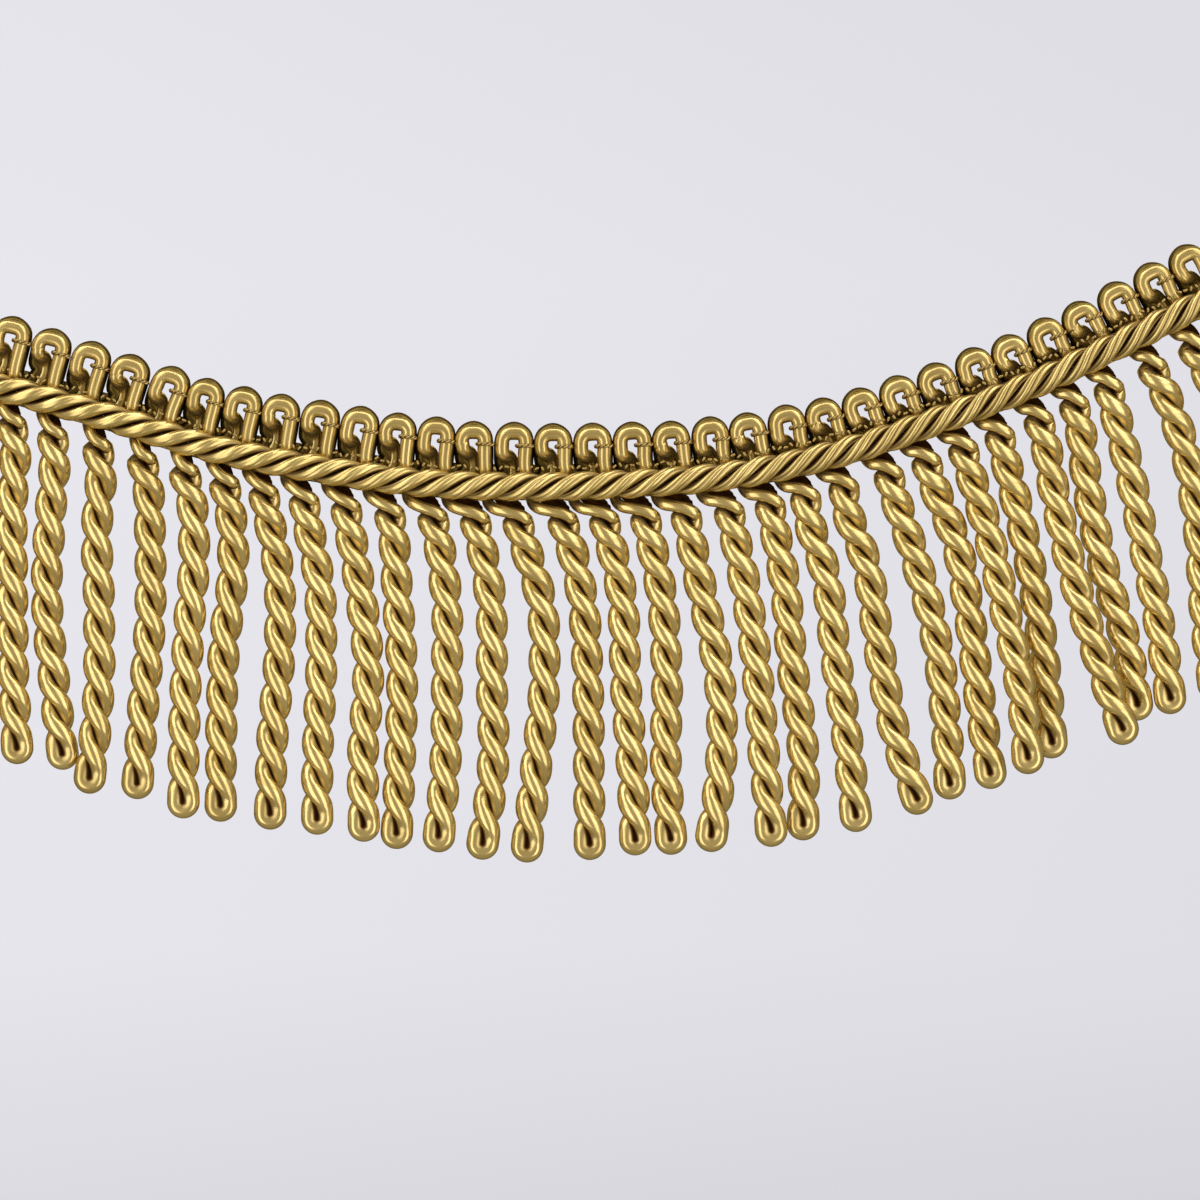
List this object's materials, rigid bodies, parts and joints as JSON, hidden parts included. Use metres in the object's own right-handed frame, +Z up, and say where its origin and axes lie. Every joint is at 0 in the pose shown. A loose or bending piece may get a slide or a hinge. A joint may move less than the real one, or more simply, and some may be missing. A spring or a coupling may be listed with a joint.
{
  "type": "cord fringe trim",
  "caption": "Gold satin bullion fringe in a shallow swag: twisted hanging cords under a laid rope and a scalloped gimp heading.",
  "frame": {"origin": "crown of the middle scallop of the heading, at the depth between the front and the back loops", "axes": "+X along the trim to the right as seen from the front, +Y from the front to the back, +Z up; the cords hang towards -Z"},
  "size_m": [0.237, 0.0102, 0.1078],
  "materials": {
    "bullion_cord": "gold satin rayon strand, glossy along its fibres",
    "rope": "gold satin rayon rope, three plies",
    "gimp": "gold satin gimp strand",
    "gimp_shade": "darker olive gold gimp strand",
    "stitching": "matt brown gold stitched band"
  },
  "bodies": {
    "root": {"bullion_fringe": "bullion_cord", "rope_cord": "rope", "gimp_front": "gimp", "gimp_back": "gimp_shade", "stitch_band": "stitching"}
  },
  "joints": []
}
